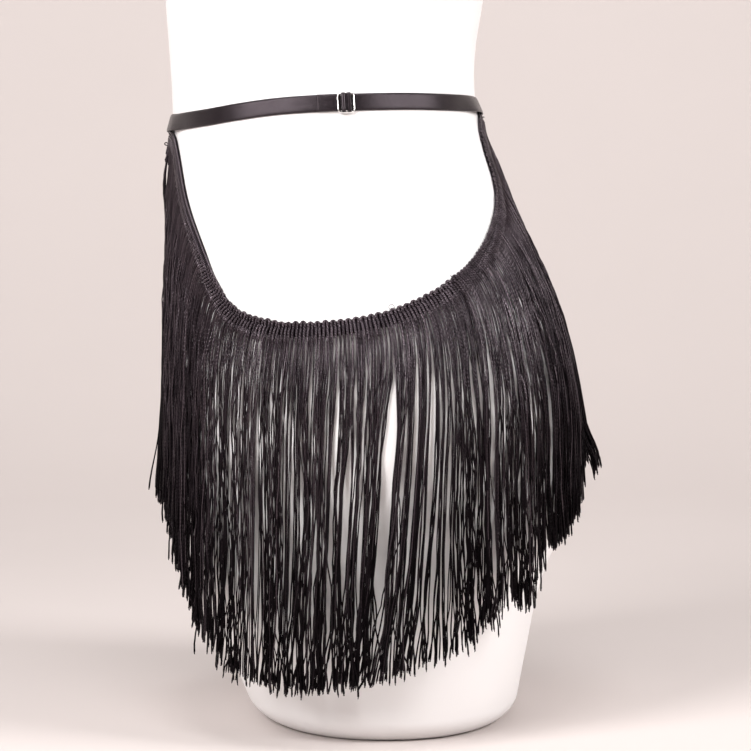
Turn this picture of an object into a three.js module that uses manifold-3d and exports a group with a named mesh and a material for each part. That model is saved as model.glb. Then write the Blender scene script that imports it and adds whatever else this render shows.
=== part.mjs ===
// Fringe overskirt on a dress form, in millimetres, +Z up.
//
// A narrow elastic waist strap with a metal slider holds up a loop of fringe trim. The trim is caught
// behind the strap at the centre front and the centre back and dips low over each hip, so that the hips
// are bare above it. Strands hang from the trim's lower edge all round. The trim is cut in four lengths,
// with a lapped join behind each hip. The garment is worn on a smooth, limbless hip form with a flat
// foot. The form faces -Y, its left hip is towards +X, and the origin is the middle of its foot.

import * as THREE from "three";
import { mergeVertices } from "three/addons/utils/BufferGeometryUtils.js";
import Module from "manifold-3d";

const wasm = await Module();
wasm.setup();

// Sizes of the form
const FORM_TOP = 478;
const FOOT_ROUNDING = 12;
const TOP_ROUNDING = 22;
const SECTION_POWER = 2.2;
const FORM_SIDES = 30;
const FORM_RING_STEP = 20;
// Each row is a level section: its height, its front and back on the Y axis, and its half breadth.
const FORM_SECTIONS = [
  { z: 0, front: -82, back: 78, half: 128 },
  { z: 40, front: -99, back: 85.5, half: 134.5 },
  { z: 80, front: -116.5, back: 94, half: 143 },
  { z: 120, front: -128, back: 109, half: 153 },
  { z: 160, front: -134.8, back: 116.2, half: 159.8 },
  { z: 200, front: -136.3, back: 113.8, half: 159.2 },
  { z: 250, front: -135.8, back: 101.8, half: 148.7 },
  { z: 300, front: -134.4, back: 80, half: 131 },
  { z: 340, front: -133, back: 64, half: 114 },
  { z: 370, front: -132.4, back: 54.5, half: 107.3 },
  { z: 400, front: -134, back: 53.2, half: 109 },
  { z: 438, front: -136.7, back: 58.7, half: 118 },
  { z: 480, front: -139, back: 66, half: 127 },
];

// Sizes of the elastic strap and its slider
const STRAP_WIDTH = 10;
const STRAP_THICKNESS = 1;
const STRAP_CLEARANCE = 0.9;
const STRAP_STEP = 9;
const STRAP_OVER_TRIM = 3.5;
const TRIM_TUCK_REACH = 38;
const TRIM_TUCK_END = 60;
const SLIDER_Y = -25;
const SLIDER_LENGTH = 10;
const SLIDER_HEIGHT = 13;
const SLIDER_WIRE = 1.15;
const SLIDER_BAR = 1.2;
const SLIDER_CORNER = 2.2;
const SEAM_GAP = 0.3;
const TAIL_LENGTH = 11;
const TAIL_WIDTH = 9.8;
// The strap's middle line on the left half of the form: it dips before the hip and rises to the back.
const STRAP_LINE = [
  { angle: 0, z: 360.8 },
  { angle: 12, z: 360.2 },
  { angle: 25, z: 358.9 },
  { angle: 45, z: 359.3 },
  { angle: 60, z: 361.3 },
  { angle: 75, z: 363.7 },
  { angle: 90, z: 365.4 },
  { angle: 105, z: 366.6 },
  { angle: 120, z: 367.6 },
  { angle: 140, z: 368.7 },
  { angle: 160, z: 370.2 },
  { angle: 180, z: 371.3 },
];

// Sizes of the trim
const TRIM_WIDTH = 8.4;
const TRIM_THICKNESS = 1.5;
const TRIM_CLEARANCE = 0.7;
const LOOP_PITCH = 4.3;
const LOOP_RISE = 0.7;
const LOOP_BULGE = 0.4;
const LOOP_LEAN = 0.2;
const JOIN_ANGLE = 118;
const LAP_LENGTH = 6;
const LAP_LIFT = 2.2;
// The trim's looped top edge on the left half of the form: angle round from the front, and height.
const TRIM_EDGE = [
  { angle: 0, z: 357.2 },
  { angle: 11, z: 355.4 },
  { angle: 21, z: 350 },
  { angle: 26.5, z: 338 },
  { angle: 33.5, z: 314 },
  { angle: 44, z: 283 },
  { angle: 49, z: 265 },
  { angle: 55.3, z: 250 },
  { angle: 64, z: 242.8 },
  { angle: 76, z: 240.2 },
  { angle: 90, z: 243.2 },
  { angle: 104, z: 253 },
  { angle: 118, z: 267.2 },
  { angle: 130.5, z: 282.5 },
  { angle: 140.8, z: 298 },
  { angle: 148, z: 313 },
  { angle: 153, z: 327 },
  { angle: 156.5, z: 343 },
  { angle: 162, z: 357 },
  { angle: 170, z: 365.2 },
  { angle: 180, z: 367.8 },
];

// Sizes of the fringe
const BACKING_WIDTH = 1.9;
const BACKING_THICKNESS = 1.5;
const BACKING_STEP = 7;
const STRAND_LENGTH = 196;
const STRAND_LENGTH_SPREAD = 5;
const STRANDS_FRONT = 56;
const STRANDS_BACK = 37;
const STRAND_BREADTH = 2.4;
const STRAND_DEPTH = 1.7;
const ROOT_SHARE = 0.4;
const TIP_SHARE = 0.7;
const STRAND_LAYERS = [2.8, 5.3];
const STRAND_STIFF_LENGTH = 9;
const STRAND_SETTLE_LENGTH = 24;
const STRAND_MARCH_STEP = 2;
const STRAND_ROOT_LENGTH = 8;
const STRAND_SPAN = 40;
const CENTRE_CLEARANCE = 1.6;
const STRAND_PACKING = 1.3;
const STRAND_END_MARGIN = 2;
const STEEP_SHARE = 0.3;
const ROOT_SAMPLES = 600;

const MATERIALS = {
  form: new THREE.MeshStandardMaterial({ color: 0xf4efec, roughness: 0.35, metalness: 0 }),
  elastic: new THREE.MeshStandardMaterial({ color: 0x3a3538, roughness: 0.5, metalness: 0 }),
  trim: new THREE.MeshStandardMaterial({ color: 0x2b2729, roughness: 0.7, metalness: 0 }),
  strand: new THREE.MeshStandardMaterial({ color: 0x1d191b, roughness: 0.55, metalness: 0 }),
  metal: new THREE.MeshStandardMaterial({ color: 0xd8d6d4, roughness: 0.25, metalness: 1 }),
};

const SAMPLES_PER_DEGREE = 8;

const { degToRad: radians, smoothstep: smooth, lerp, clamp } = THREE.MathUtils;
const signedPower = (x, power) => Math.sign(x) * Math.abs(x) ** power;

// A smooth value between the rows of a table, with no overshoot of its slopes.
function tableValue(rows, key, name, at) {
  const last = rows.length - 1;
  const x = clamp(at, rows[0][key], rows[last][key]);
  let i = 0;
  while (i < last - 1 && x > rows[i + 1][key]) i++;
  const slope = (j) => {
    const a = Math.max(j - 1, 0);
    const b = Math.min(j + 1, last);
    return (rows[b][name] - rows[a][name]) / (rows[b][key] - rows[a][key]);
  };
  const span = rows[i + 1][key] - rows[i][key];
  const t = (x - rows[i][key]) / span;
  const rise = rows[i + 1][name] - rows[i][name];
  const start = rows[i][name];
  const s0 = slope(i) * span;
  const s1 = slope(i + 1) * span;
  return start + t * s0 + t * t * (3 * rise - 2 * s0 - s1) + t * t * t * (s0 + s1 - 2 * rise);
}

// The form's level section at a height, drawn in by its roundings at the foot and the top.
function sectionAt(z) {
  const front = tableValue(FORM_SECTIONS, "z", "front", z);
  const back = tableValue(FORM_SECTIONS, "z", "back", z);
  const half = tableValue(FORM_SECTIONS, "z", "half", z);
  return { middle: (front + back) / 2, depth: (back - front) / 2, half };
}

// A point on the form: the angle runs round from the front over the left hip to the back.
function formPoint(angle, z, inset = 0) {
  const { middle, depth, half } = sectionAt(z);
  const a = radians(angle);
  return new THREE.Vector3(
    (half - inset) * signedPower(Math.sin(a), 2 / SECTION_POWER),
    middle - (depth - inset) * signedPower(Math.cos(a), 2 / SECTION_POWER),
    z,
  );
}

// About how far a point is outside the form, and the form's outward normal there.
function fieldAt(p) {
  const value = (q) => {
    const { middle, depth, half } = sectionAt(q.z);
    const across = Math.abs(q.x / half) ** SECTION_POWER;
    return across + Math.abs((q.y - middle) / depth) ** SECTION_POWER - 1;
  };
  const h = 0.05;
  const slope = new THREE.Vector3();
  for (const axis of ["x", "y", "z"]) {
    const up = p.clone();
    const down = p.clone();
    up[axis] += h;
    down[axis] -= h;
    slope[axis] = (value(up) - value(down)) / (2 * h);
  }
  return { away: value(p) / slope.length(), normal: slope.normalize() };
}

// A closed or open loft through rings of points, with its faces pointing out.
function loft(rings, closed = false) {
  const n = rings[0].length;
  const points = rings.flat();
  const index = [];
  const spans = closed ? rings.length : rings.length - 1;
  for (let i = 0; i < spans; i++) {
    const j = (i + 1) % rings.length;
    for (let k = 0; k < n; k++) {
      const l = (k + 1) % n;
      index.push(i * n + k, j * n + k, j * n + l, i * n + k, j * n + l, i * n + l);
    }
  }
  if (!closed) {
    const end = (rings.length - 1) * n;
    for (let k = 1; k < n - 1; k++) {
      index.push(0, k, k + 1, end, end + k + 1, end + k);
    }
  }
  let volume = 0;
  for (let i = 0; i < index.length; i += 3) {
    const [a, b, c] = [points[index[i]], points[index[i + 1]], points[index[i + 2]]];
    volume += a.dot(b.clone().cross(c));
  }
  if (volume < 0) index.reverse();
  const geometry = new THREE.BufferGeometry().setFromPoints(points);
  geometry.setIndex(index);
  return geometry;
}

function toSolid(geometry) {
  const bare = mergeVertices(geometry, 1e-4);
  return new wasm.Manifold(
    new wasm.Mesh({
      numProp: 3,
      vertProperties: bare.attributes.position.array,
      triVerts: new Uint32Array(bare.index.array),
    }),
  );
}

function fromSolid(solid) {
  const { numProp, vertProperties, triVerts } = solid.getMesh();
  const geometry = new THREE.BufferGeometry();
  geometry.setAttribute("position", new THREE.BufferAttribute(vertProperties, numProp));
  geometry.setIndex(new THREE.BufferAttribute(triVerts, 1));
  return geometry;
}

// The form: level sections from a rounded foot edge to a rounded, flat top.
function formGeometry() {
  const levels = [];
  for (const turn of [0, 30, 60, 90]) {
    const cut = FOOT_ROUNDING * (1 - Math.sin(radians(turn)));
    levels.push({ z: FOOT_ROUNDING * (1 - Math.cos(radians(turn))), inset: cut });
  }
  for (let z = FOOT_ROUNDING + FORM_RING_STEP; z < FORM_TOP - TOP_ROUNDING; z += FORM_RING_STEP) {
    levels.push({ z, inset: 0 });
  }
  for (const turn of [90, 60, 30, 0]) {
    const cut = TOP_ROUNDING * (1 - Math.sin(radians(turn)));
    levels.push({ z: FORM_TOP - TOP_ROUNDING * (1 - Math.cos(radians(turn))), inset: cut });
  }
  const rings = levels.map(({ z, inset }) =>
    Array.from({ length: FORM_SIDES }, (_, k) => formPoint((360 * k) / FORM_SIDES, z, inset)),
  );
  return loft(rings);
}

// The strap's middle line, the same on both halves of the form.
function strapPoint(angle) {
  const fromFront = Math.min(angle, 360 - angle);
  return formPoint(angle, tableValue(STRAP_LINE, "angle", "z", fromFront));
}

// The outward level direction at a point of the form.
function levelNormal(p) {
  const { normal } = fieldAt(p);
  return normal.setZ(0).normalize();
}

// Samples of a line on the form at even angles, with the distance along it.
function measured(pointAt, lastAngle) {
  const samples = [];
  let along = 0;
  const count = lastAngle * SAMPLES_PER_DEGREE;
  for (let i = 0; i <= count; i++) {
    const angle = i / SAMPLES_PER_DEGREE;
    const point = pointAt(angle);
    if (i) along += point.distanceTo(samples[i - 1].point);
    samples.push({ angle, point, along });
  }
  return samples;
}

function angleAt(samples, along) {
  let i = 1;
  while (i < samples.length - 1 && samples[i].along < along) i++;
  const a = samples[i - 1];
  const b = samples[i];
  return a.angle + ((b.angle - a.angle) * (along - a.along)) / (b.along - a.along);
}

const strapLine = measured(strapPoint, 360);
const strapGirth = strapLine[strapLine.length - 1].along;
const sliderAlong = strapLine.find((s) => s.point.x > 0 && s.point.y > SLIDER_Y).along;

const UNDER_SLIDER = STRAP_CLEARANCE + STRAP_THICKNESS + SEAM_GAP;
const OVER_BAR = UNDER_SLIDER + SLIDER_WIRE + SEAM_GAP;
const SLIDER_IN = SLIDER_BAR / 2 + SEAM_GAP;
const SLIDER_OUT = SLIDER_LENGTH / 2 - SLIDER_WIRE - SEAM_GAP;

// How far the strap's lower and upper edges stand off the form at a distance along it. It rises over
// the slider's middle bar, and the trim caught behind it pushes its lower edge out.
function strapLift(along) {
  const fromSlider = Math.abs(along - sliderAlong);
  if (fromSlider < SLIDER_LENGTH) {
    const share = clamp((SLIDER_OUT - fromSlider) / (SLIDER_OUT - SLIDER_IN), 0, 1);
    const lift = lerp(STRAP_CLEARANCE, OVER_BAR, share);
    return [lift, lift];
  }
  const { x } = strapPoint(angleAt(strapLine, along));
  const tucked = 1 - smooth(Math.abs(x), TRIM_TUCK_REACH, TRIM_TUCK_END);
  return [lerp(STRAP_CLEARANCE, STRAP_OVER_TRIM, tucked), STRAP_CLEARANCE];
}

// The strap's frame at a distance along it: its middle on the form, and its directions up and out.
function strapFrame(along) {
  const middle = strapPoint(angleAt(strapLine, along));
  const out = fieldAt(middle).normal;
  const ahead = strapPoint(angleAt(strapLine, (along + 1) % strapGirth)).sub(middle).normalize();
  const up = new THREE.Vector3().crossVectors(out, ahead).normalize();
  return { middle, up, out };
}

// The four corners of a band's cross-section at a distance along the strap.
function bandRing(along, [low, high], width) {
  const { middle, up, out } = strapFrame(along);
  return [
    [low, -width / 2],
    [low + STRAP_THICKNESS, -width / 2],
    [high + STRAP_THICKNESS, width / 2],
    [high, width / 2],
  ].map(([off, rise]) => middle.clone().addScaledVector(out, off).addScaledVector(up, rise));
}

function strapGeometry() {
  const stops = [];
  for (let i = 0; i < Math.round(strapGirth / STRAP_STEP); i++) {
    const along = i * STRAP_STEP;
    if (Math.abs(along - sliderAlong) > SLIDER_LENGTH / 2 + 1) stops.push(along);
  }
  for (const off of [SLIDER_LENGTH / 2, SLIDER_OUT, SLIDER_IN]) {
    stops.push(sliderAlong - off, sliderAlong + off);
  }
  stops.sort((a, b) => a - b);
  return loft(stops.map((along) => bandRing(along, strapLift(along), STRAP_WIDTH)), true);
}

// The sewn-back end of the strap, on the strap's outer face in front of the slider.
function tailGeometry() {
  const end = sliderAlong - SLIDER_LENGTH / 2 - SEAM_GAP;
  const lift = STRAP_CLEARANCE + STRAP_THICKNESS + SEAM_GAP;
  const rings = [0, 0.5, 1].map((share) =>
    bandRing(end - TAIL_LENGTH * (1 - share), [lift, lift], TAIL_WIDTH),
  );
  return loft(rings);
}

// The slider: a rounded frame with two slots either side of a middle bar.
function sliderGeometry() {
  const rounded = (path, x0, y0, x1, y1, r) => {
    path.moveTo(x0 + r, y0);
    path.lineTo(x1 - r, y0).absarc(x1 - r, y0 + r, r, -Math.PI / 2, 0);
    path.lineTo(x1, y1 - r).absarc(x1 - r, y1 - r, r, 0, Math.PI / 2);
    path.lineTo(x0 + r, y1).absarc(x0 + r, y1 - r, r, Math.PI / 2, Math.PI);
    path.lineTo(x0, y0 + r).absarc(x0 + r, y0 + r, r, Math.PI, 1.5 * Math.PI);
    return path;
  };
  const x = SLIDER_LENGTH / 2;
  const y = SLIDER_HEIGHT / 2;
  const frame = rounded(new THREE.Shape(), -x, -y, x, y, SLIDER_CORNER);
  for (const side of [-1, 1]) {
    const edges = [side * (SLIDER_BAR / 2), side * (x - SLIDER_WIRE)].sort((a, b) => a - b);
    const slot = new THREE.Path();
    const top = y - SLIDER_WIRE;
    frame.holes.push(rounded(slot, edges[0], -top, edges[1], top, SLIDER_CORNER / 3));
  }
  const options = { depth: SLIDER_WIRE, bevelEnabled: false, curveSegments: 4 };
  return new THREE.ExtrudeGeometry(frame, options);
}

function sliderMesh() {
  const { middle, up, out } = strapFrame(sliderAlong);
  const along = up.clone().cross(out);
  const mesh = new THREE.Mesh(sliderGeometry(), MATERIALS.metal);
  mesh.setRotationFromMatrix(new THREE.Matrix4().makeBasis(along, up, out));
  mesh.position.copy(middle.addScaledVector(out, UNDER_SLIDER));
  return mesh;
}

// The trim's top edge on the form, with the frame that it lies in: along, across its width, and out.
function trimEdge(angle) {
  return formPoint(angle, tableValue(TRIM_EDGE, "angle", "z", angle));
}

function trimFrame(angle) {
  const step = 0.4;
  const ahead = trimEdge(Math.min(angle + step, 180));
  const behind = trimEdge(Math.max(angle - step, 0));
  const point = trimEdge(angle);
  const along = ahead.sub(behind);
  if (angle < step || angle > 180 - step) along.setY(0).setZ(0);
  const across = new THREE.Vector3().crossVectors(along, fieldAt(point).normal).normalize();
  if (across.z > 0) across.negate();
  return { point, across };
}

// A point of the trim: across its width from the top edge, and out from the form.
function onTrim(frame, across, out) {
  const p = frame.point.clone().addScaledVector(frame.across, across);
  const { away, normal } = fieldAt(p);
  return p.addScaledVector(normal, out - away);
}

const trimLine = measured(trimEdge, 180);
const trimLength = trimLine[trimLine.length - 1].along;
const joinAlong = trimLine.find((s) => s.angle >= JOIN_ANGLE).along;

// How far a length of trim lies off the form: the back length rises over the front one at the join.
function trimLift(along, piece) {
  if (piece === "front") return TRIM_CLEARANCE;
  const lapped = 1 - smooth(along - joinAlong, 0, LAP_LENGTH * 2);
  return TRIM_CLEARANCE + LAP_LIFT * lapped;
}

const PIECES = {
  front: { from: SEAM_GAP, to: joinAlong, bare: LAP_LENGTH, strands: STRANDS_FRONT },
  back: { from: joinAlong - LAP_LENGTH, to: trimLength - SEAM_GAP, bare: 0, strands: STRANDS_BACK },
};

// One length of trim: a ribbon whose top edge rises and bulges at each loop.
function trimGeometry(piece) {
  const { from, to } = PIECES[piece];
  const halves = Math.round((to - from) / (LOOP_PITCH / 2));
  const rings = Array.from({ length: halves + 1 }, (_, i) => {
    const along = from + ((to - from) * i) / halves;
    const frame = trimFrame(angleAt(trimLine, along));
    const loop = i % 2;
    const lift = trimLift(along, piece);
    const top = lift + TRIM_THICKNESS + LOOP_BULGE * loop;
    return [
      onTrim(frame, -LOOP_RISE * loop, lift),
      onTrim(frame, TRIM_WIDTH, lift),
      onTrim(frame, TRIM_WIDTH, lift + TRIM_THICKNESS),
      onTrim(frame, LOOP_LEAN - LOOP_RISE * loop, top),
    ];
  });
  return loft(rings);
}

// A repeatable number from 0 to 1.
const scatter = (i) => {
  const x = Math.sin(i * 12.9898 + 4.1) * 43758.5453;
  return x - Math.floor(x);
};

// The line of a strand: it leaves the trim square to its edge, bends down under its weight,
// lies on the form as far as the fullest part of the hips, and hangs free below it. It comes no
// nearer to the middle of the form than leastX.
function strandLine(frame, lift, layer, leastX) {
  const start = TRIM_WIDTH + SEAM_GAP + BACKING_WIDTH / 2;
  const line = [onTrim(frame, start, lift + BACKING_THICKNESS / 2)];
  const down = new THREE.Vector3(0, 0, -1);
  for (let s = 0; s < STRAND_LENGTH + STRAND_LENGTH_SPREAD; s += STRAND_MARCH_STEP) {
    const stiff = Math.exp(-s / STRAND_STIFF_LENGTH);
    const way = down.clone().lerp(frame.across, stiff).normalize();
    const before = line[line.length - 1];
    const p = before.clone().addScaledVector(way, STRAND_MARCH_STEP);
    const rest = lerp(lift + BACKING_THICKNESS / 2, layer, smooth(s, 0, STRAND_SETTLE_LENGTH));
    for (let i = 0; i < 3; i++) {
      const { away, normal } = fieldAt(p);
      if (away < rest) p.addScaledVector(normal, rest - away);
    }
    p.sub(before).setLength(STRAND_MARCH_STEP).add(before);
    p.x = Math.max(p.x, leastX);
    line.push(p);
  }
  return line;
}

// The distances along a strand of its sections: close where it follows the form, then one free fall.
function strandMarks(line, length) {
  const straight = STRAND_MARCH_STEP - 0.002;
  const free = line.findLastIndex((p, i) => i && line[i - 1].z - p.z < straight);
  const bent = Math.min(Math.max(free * STRAND_MARCH_STEP, STRAND_SPAN), length - STRAND_ROOT_LENGTH);
  const spans = Math.ceil((bent - STRAND_ROOT_LENGTH) / STRAND_SPAN);
  const marks = [0];
  for (let i = 0; i <= spans; i++) {
    marks.push(lerp(STRAND_ROOT_LENGTH, bent, i / spans));
  }
  marks.push(length);
  return marks;
}

// A three-sided strand along its line, slender at the root and the tip.
function strandGeometry(line, length) {
  const marks = strandMarks(line, length);
  const rings = marks.map((mark, m) => {
    const at = mark / STRAND_MARCH_STEP;
    const i = Math.min(Math.floor(at), line.length - 2);
    const p = line[i].clone().lerp(line[i + 1], at - i);
    const way = line[i + 1].clone().sub(line[i]).normalize();
    const out = levelNormal(p);
    const side = new THREE.Vector3().crossVectors(out, way).normalize();
    out.crossVectors(way, side).normalize();
    const full = m === 0 ? ROOT_SHARE : m === marks.length - 1 ? TIP_SHARE : 1;
    return [
      [-STRAND_BREADTH / 2, -STRAND_DEPTH / 3],
      [STRAND_BREADTH / 2, -STRAND_DEPTH / 3],
      [0, (STRAND_DEPTH * 2) / 3],
    ].map(([u, v]) => p.clone().addScaledVector(side, u * full).addScaledVector(out, v * full));
  });
  return loft(rings);
}

// Where the strands of one length root. They are spaced mostly by how far apart they hang, so they
// lie further apart along the trim where it is steep.
function strandRoots(piece) {
  const { from, to, bare, strands } = PIECES[piece];
  const first = from + STRAND_END_MARGIN;
  const last = to - bare - STRAND_END_MARGIN;
  const marks = [];
  let total = 0;
  for (let i = 0; i <= ROOT_SAMPLES; i++) {
    const along = lerp(first, last, i / ROOT_SAMPLES);
    const point = trimEdge(angleAt(trimLine, along));
    if (i) {
      const move = point.clone().sub(marks[i - 1].point);
      total += STEEP_SHARE * move.length() + (1 - STEEP_SHARE) * Math.hypot(move.x, move.y);
    }
    marks.push({ along, point, total });
  }
  return Array.from({ length: strands }, (_, k) => {
    const want = (total * k) / (strands - 1);
    return marks.find((m) => m.total >= want - 1e-6).along;
  });
}

// One fringe: a narrow backing strip just below the trim, with its strands fused into it.
function fringeGeometry(piece) {
  const { from, to, strands } = PIECES[piece];
  const count = Math.round((to - from) / BACKING_STEP);
  const edge = TRIM_WIDTH + SEAM_GAP;
  const rings = Array.from({ length: count + 1 }, (_, i) => {
    const along = from + ((to - from) * i) / count;
    const frame = trimFrame(angleAt(trimLine, along));
    const lift = trimLift(along, piece);
    return [
      onTrim(frame, edge, lift),
      onTrim(frame, edge + BACKING_WIDTH, lift),
      onTrim(frame, edge + BACKING_WIDTH, lift + BACKING_THICKNESS),
      onTrim(frame, edge, lift + BACKING_THICKNESS),
    ];
  });
  let fringe = toSolid(loft(rings));
  strandRoots(piece).forEach((along, k) => {
    const frame = trimFrame(angleAt(trimLine, along));
    const lift = trimLift(along, piece);
    const rank = piece === "front" ? k : strands - 1 - k;
    const leastX = CENTRE_CLEARANCE + STRAND_PACKING * rank;
    const line = strandLine(frame, lift, lift - TRIM_CLEARANCE + STRAND_LAYERS[k % 2], leastX);
    const length = STRAND_LENGTH + STRAND_LENGTH_SPREAD * (scatter(k + along) - 0.5);
    fringe = fringe.add(toSolid(strandGeometry(line, length)));
  });
  return fromSolid(fringe);
}

const overskirt = new THREE.Group();

function place(name, geometry, material) {
  const mesh = new THREE.Mesh(geometry, material);
  mesh.name = name;
  overskirt.add(mesh);
  return mesh;
}

// The same piece on the right hip.
function mirrored(name, mesh) {
  place(name, mesh.geometry, mesh.material).scale.x = -1;
}

place("form", formGeometry(), MATERIALS.form);
place("strap", strapGeometry(), MATERIALS.elastic);
place("strap_tail", tailGeometry(), MATERIALS.elastic);
const slider = sliderMesh();
slider.name = "slider";
overskirt.add(slider);
for (const piece of Object.keys(PIECES)) {
  const trim = place(`trim_left_${piece}`, trimGeometry(piece), MATERIALS.trim);
  mirrored(`trim_right_${piece}`, trim);
  const fringe = place(`fringe_left_${piece}`, fringeGeometry(piece), MATERIALS.strand);
  mirrored(`fringe_right_${piece}`, fringe);
}

export default overskirt;
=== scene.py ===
"""Fringe overskirt on a dress form: its fine form and finishes.

The form faces -Y and its left hip is towards +X. The pieces are in millimetres until a mesh is made.
The studio, and the depth of the relief on materials, are in metres.
"""
import math

import bpy
import numpy as np
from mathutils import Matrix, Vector


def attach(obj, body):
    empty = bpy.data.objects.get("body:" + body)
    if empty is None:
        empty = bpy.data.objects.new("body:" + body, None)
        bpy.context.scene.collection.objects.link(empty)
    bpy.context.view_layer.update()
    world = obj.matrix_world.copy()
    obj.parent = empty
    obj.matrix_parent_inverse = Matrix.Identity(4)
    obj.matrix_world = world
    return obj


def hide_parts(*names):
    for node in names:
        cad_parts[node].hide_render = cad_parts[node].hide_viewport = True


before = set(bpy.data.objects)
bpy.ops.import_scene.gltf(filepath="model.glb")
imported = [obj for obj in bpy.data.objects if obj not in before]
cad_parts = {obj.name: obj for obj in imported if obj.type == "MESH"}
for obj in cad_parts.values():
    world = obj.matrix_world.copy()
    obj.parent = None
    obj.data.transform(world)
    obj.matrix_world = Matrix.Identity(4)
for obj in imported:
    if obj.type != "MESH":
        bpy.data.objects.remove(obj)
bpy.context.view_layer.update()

MM = 0.001
rng = np.random.default_rng(29)

# Sizes of the form
FORM_TOP = 478
FOOT_ROUNDING = 12
TOP_ROUNDING = 22
SECTION_POWER = 2.2
FORM_SIDES = 144
FORM_RING_STEP = 6
ROUNDING_STEPS = 8
SECTION_COLUMNS = ("z", "front", "back", "half")
FORM_SECTIONS = [
    (0, -82, 78, 128),
    (40, -99, 85.5, 134.5),
    (80, -116.5, 94, 143),
    (120, -128, 109, 153),
    (160, -134.8, 116.2, 159.8),
    (200, -136.3, 113.8, 159.2),
    (250, -135.8, 101.8, 148.7),
    (300, -134.4, 80, 131),
    (340, -133, 64, 114),
    (370, -132.4, 54.5, 107.3),
    (400, -134, 53.2, 109),
    (438, -136.7, 58.7, 118),
    (480, -139, 66, 127),
]

# Sizes of the elastic strap and its slider
STRAP_WIDTH = 10
STRAP_THICKNESS = 0.9
STRAP_CLEARANCE = 0.35
STRAP_OVER_TRIM = 2.9
STRAP_STEP = 1.5
STRAP_FINE_STEP = 0.2575
# The strap's edge has a bead: how much thicker it is, and where it starts and ends, as shares of the width.
BEAD_SWELL = 0.12
BEAD_START = 0.36
BEAD_END = 0.46
EDGE_THINNING = 0.35
# The strap lies over the trim up to this far from the centre line, and clear of it from the second place.
TRIM_TUCK_REACH = 38
TRIM_TUCK_END = 60
SLIDER_Y = -25
SLIDER_LENGTH = 10.3
SLIDER_HEIGHT = 12.1
WIRE_RADIUS = 0.58
WIRE_LIFT = 2.0
SLIDER_CORNER = 2.4
# The strap's fold over the slider's bar has a crest on each side of a crease.
CREST_LIFT = 3.95
CREST_END = 2.1
CREST_WIDENING = 0.12
CREST_DROP = 0.5
CREASE_LIFT = 2.75
CREASE_WIDTH = 1.1
TAIL_LENGTH = 11
TAIL_WIDTH = 9.9
TAIL_THICKNESS = STRAP_THICKNESS * 0.85
TAIL_GAP = 0.12
STITCH_ROWS = (1.2, 2.6)
STITCH_REACH = 0.42
STITCH_PITCH = 1.15
STITCH_LIFTS = (-0.05, 0.16, -0.05)
STITCH_RADIUS = 0.13
# The strap's middle line on the left half of the form: it dips before the hip and rises to the back.
LINE_COLUMNS = ("angle", "z")
STRAP_LINE = [
    (0, 360.8),
    (12, 360.2),
    (25, 358.9),
    (45, 359.3),
    (60, 361.3),
    (75, 363.7),
    (90, 365.4),
    (105, 366.6),
    (120, 367.6),
    (140, 368.7),
    (160, 370.2),
    (180, 371.3),
]

# Sizes of the trim
TRIM_WIDTH = 8.4
TRIM_CLEARANCE = 0.3
JOIN_ANGLE = 118
LAP_LENGTH = 6
LAP_LIFT = 1.7
# A thin loop of thread stands up from the trim's edge here.
LOOP_ANGLE = 97.2
LOOP_RADIUS = 1.6
# The trim's looped top edge on the left half of the form.
TRIM_EDGE = [
    (0, 357.2),
    (11, 355.4),
    (21, 350),
    (26.5, 338),
    (33.5, 314),
    (44, 283),
    (49, 265),
    (55.3, 250),
    (64, 242.8),
    (76, 240.2),
    (90, 243.2),
    (104, 253),
    (118, 267.2),
    (130.5, 282.5),
    (141.3, 298),
    (150.5, 313),
    (155.8, 327),
    (157.8, 343),
    (162, 356.5),
    (170, 364.8),
    (180, 367.8),
]
END_MARGIN = 0.2
RIBBON_ACROSS = (0.3, 4.3, TRIM_WIDTH)
RIBBON_THICKNESS = 0.5
RIBBON_STEP = 2.5
# The ribs' pitch, the share of it that half a rib fills, and how high a rib is for its breadth.
RIB_PITCH = {"front": 2.1, "back": 1.7}
RIB_FILL = {"front": 0.38, "back": 0.29}
RIB_HEIGHT = {"front": 0.85, "back": 1.6}
RIB_SLANT = -0.2
SLANT_FADE = 60
RIB_TAPER = 0.45
# The radius of a loop's cord where the loops are this far apart. It follows their pitch.
LOOP_CORD_RADIUS = 0.8
LOOP_CORD_PITCH = 4.2
# How far the trim climbs to the strap, in front and behind. Cords along its edge replace its loops there.
FRONT_CLIMB = 170
BACK_CLIMB = 50
CLIMB_FADE = 40
EDGE_CORD_STEP = 2.5
EDGE_CORD_WAVER = 0.12
EDGE_CORD_LIFT = 0.4
EDGE_CORD_RISE = 1.5
# The cords along the trim's edge: place across the trim, radius and tone. The tones are painted light and
# shade: two lighter cords, with a dark one between them where a line of shade falls.
EDGE_CORDS = [(0.5, 0.62, 0.75), (2.2, 0.5, 0.0), (3.9, 0.62, 0.6)]
# A rib across the trim, and one leg of a loop on its top edge: place across it, and height off the form.
RIB_PROFILE = [
    (3.2, 0.8),
    (3.8, 1.35),
    (5.0, 1.8),
    (6.4, 1.9),
    (7.8, 1.8),
    (9.2, 1.65),
    (10.8, 1.5),
    (12.6, 1.3),
]
LOOP_LEG = [(3.5, 0.8), (2.4, 1.35), (1.25, 1.6), (0.6, 1.65), (0.15, 1.65), (0.0, 1.65)]
LOOP_SPREAD = [0.42, 0.55, 0.58, 0.5, 0.28, 0.0]

# Sizes of the fringe
STRAND_LENGTH = 197
STRAND_RADIUS = 0.35
STRAND_SPREADING = 0.2
STRAND_PITCH = 0.43
STRAND_SIDES = 4
STRAND_STIFF_LENGTH = 9
STRAND_SETTLE_LENGTH = 30
CURTAIN_COLUMN = 1.0
CURTAIN_STEP = 2
CURTAIN_LIFT = 1.2
CURTAIN_SPARE = 14
ROOT_DEPTH = 0.8
# How far from the centre line the end strands hang, and how much further each millimetre along the trim.
CENTRE_CLEARANCE = 0.7
STRAND_PACKING = 0.22
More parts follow.
